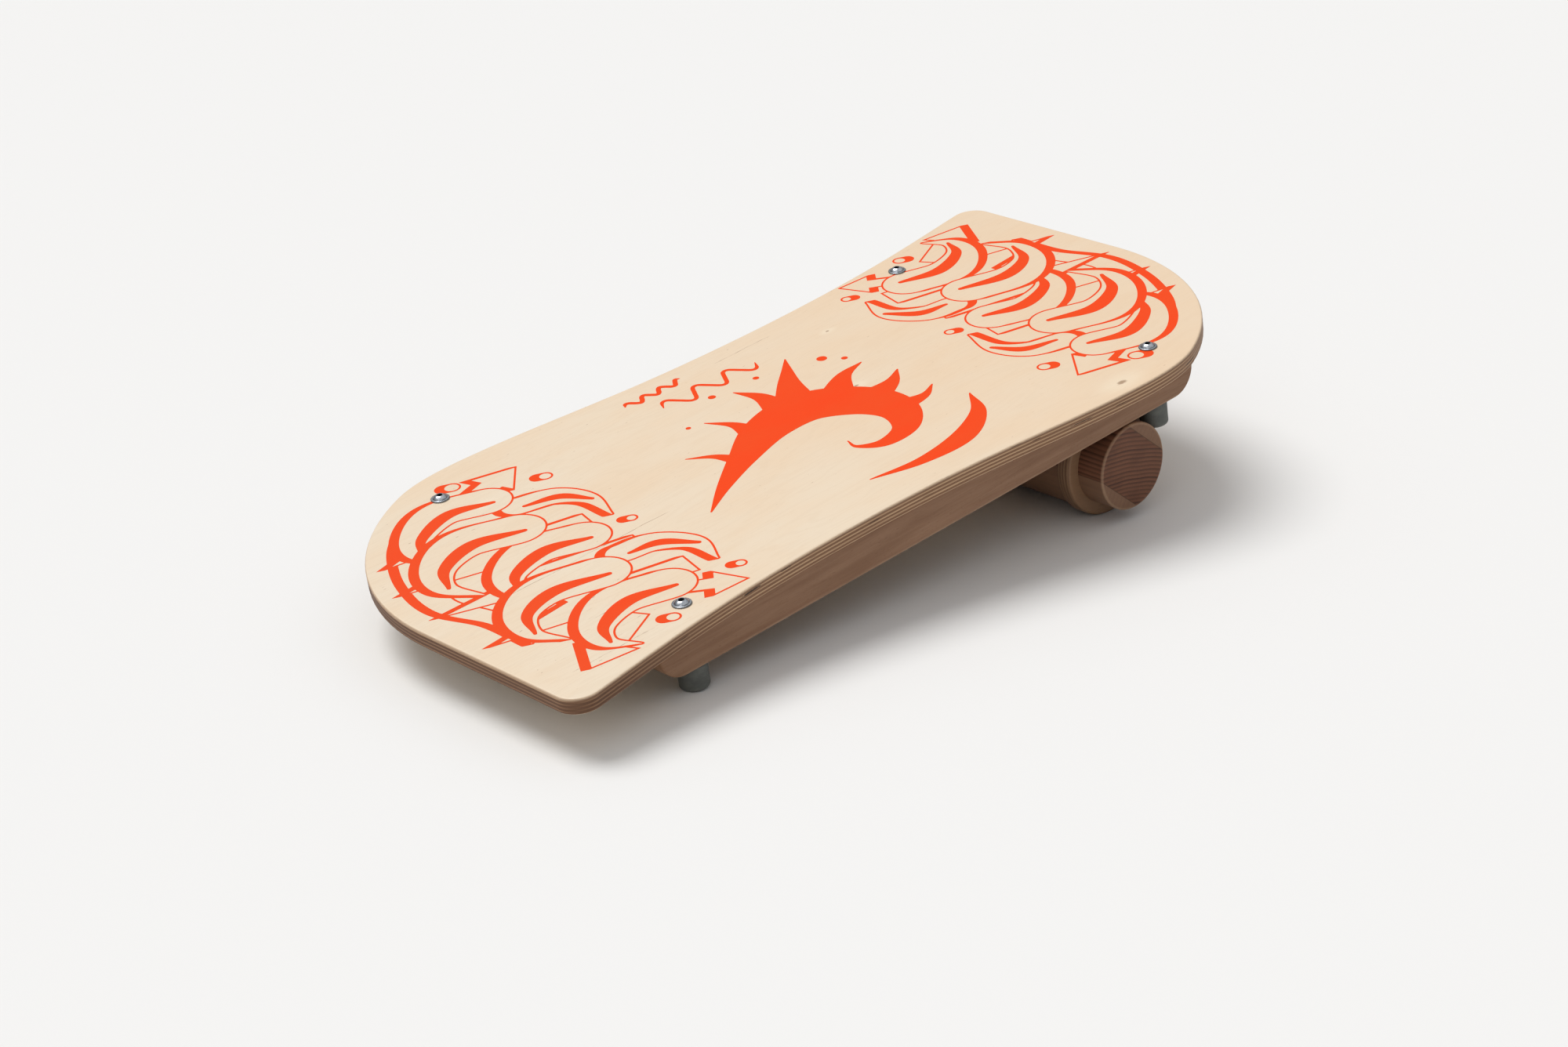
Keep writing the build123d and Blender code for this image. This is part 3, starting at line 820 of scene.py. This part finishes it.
rubber = grey_rubber()
zinc = plated_steel("bolt_zinc_plate", rgb(0.62, 0.66, 0.71), rgb(0.40, 0.435, 0.48), 0.15, 0.36)
steel = plated_steel("bush_steel_plain", rgb(0.62, 0.62, 0.63), rgb(0.48, 0.48, 0.49), 0.28, 0.5)
for side in ("front", "back"):
    for end in ("left", "right"):
        wear(f"stop_peg_{side}_{end}", rubber)
        wear(f"peg_bush_{side}_{end}", steel)
        wear(f"bolt_{side}_{end}", zinc)


# ---------------------------------------------------------------- studio

FLOOR_HALF = 30.0
BACKDROP = 1.12  # strength of what shows past the floor, which makes it as pale as the lit floor
SKY_HORIZON = 0.12
SKY_ZENITH = 0.80
CAMERA_PLACE = (-1.43412, -1.58893, 0.89269)
CAMERA_HEADING = math.radians(41.703)  # from +Y towards +X
CAMERA_PITCH = math.radians(-22.302)
CAMERA_ROLL = math.radians(-1.530)
CAMERA_LENS = 73.70


def floor():
    """A plain pale floor, clear from below so that the underside of the board can be looked at."""
    bm = bmesh.new()
    bmesh.ops.create_grid(bm, x_segments=6, y_segments=6, size=FLOOR_HALF)
    mesh = bpy.data.meshes.new("studio_floor")
    bm.to_mesh(mesh)
    bm.free()
    graph = Graph("pale_floor")
    behind = graph.add("NewGeometry", {}, out="Backfacing")
    graph.feed(graph.shader.inputs["Alpha"], graph.maths("SUBTRACT", 1.0, behind))
    mesh.materials.append(graph.finish(rgb(0.82, 0.82, 0.82), 0.9, Specular_IOR_Level=0.1))
    piece = bpy.data.objects.new("studio_floor", mesh)
    bpy.context.scene.collection.objects.link(piece)


def soft_sun(name, place, spread, strength, colour=(1, 1, 1)):
    """Even soft light from the direction of place, from a source spread degrees wide."""
    light = bpy.data.lights.new(name, "SUN")
    light.energy = strength
    light.angle = math.radians(spread)
    light.color = colour
    lamp = bpy.data.objects.new(name, light)
    bpy.context.scene.collection.objects.link(lamp)
    lamp.rotation_euler = (-Vector(place)).to_track_quat("-Z", "Y").to_euler()


def sky():
    """Even light that is brighter overhead than at the horizon, over a plain pale backdrop."""
    world = bpy.data.worlds.new("studio")
    bpy.context.scene.world = world
    world.use_nodes = True
    tree = world.node_tree
    tree.nodes.clear()
    direction = tree.nodes.new("ShaderNodeTexCoord")
    split = tree.nodes.new("ShaderNodeSeparateXYZ")
    climb = tree.nodes.new("ShaderNodeMapRange")
    climb.interpolation_type = "SMOOTHSTEP"
    climb.inputs["From Min"].default_value = 0.0
    climb.inputs["From Max"].default_value = 0.9
    climb.inputs["To Min"].default_value = SKY_HORIZON
    climb.inputs["To Max"].default_value = SKY_ZENITH
    background = tree.nodes.new("ShaderNodeBackground")
    output = tree.nodes.new("ShaderNodeOutputWorld")
    tree.links.new(direction.outputs["Generated"], split.inputs[0])
    tree.links.new(split.outputs[2], climb.inputs[0])
    seen = tree.nodes.new("ShaderNodeLightPath")
    either = tree.nodes.new("ShaderNodeMix")
    either.inputs["B"].default_value = BACKDROP
    tree.links.new(seen.outputs["Is Camera Ray"], either.inputs["Factor"])
    tree.links.new(climb.outputs[0], either.inputs["A"])
    tree.links.new(either.outputs[0], background.inputs["Strength"])
    tree.links.new(background.outputs[0], output.inputs[0])


def camera():
    """A three-quarter view from above the low end."""
    data = bpy.data.cameras.new("camera")
    data.lens = CAMERA_LENS
    data.sensor_width = 36.0
    view = bpy.data.objects.new("camera", data)
    bpy.context.scene.collection.objects.link(view)
    turn = Matrix.Rotation(-CAMERA_HEADING, 4, "Z") @ Matrix.Rotation(math.pi / 2 + CAMERA_PITCH, 4, "X")
    view.matrix_world = Matrix.Translation(CAMERA_PLACE) @ turn @ Matrix.Rotation(CAMERA_ROLL, 4, "Z")
    bpy.context.scene.camera = view


floor()
sky()
soft_sun("key", (-0.5, 0.95, 2.4), 36.0, 1.98, (1.0, 0.985, 0.96))
soft_sun("fill", (-2.2, -1.2, 1.6), 30.0, 0.22)
camera()
bpy.context.scene.view_settings.view_transform = "Standard"
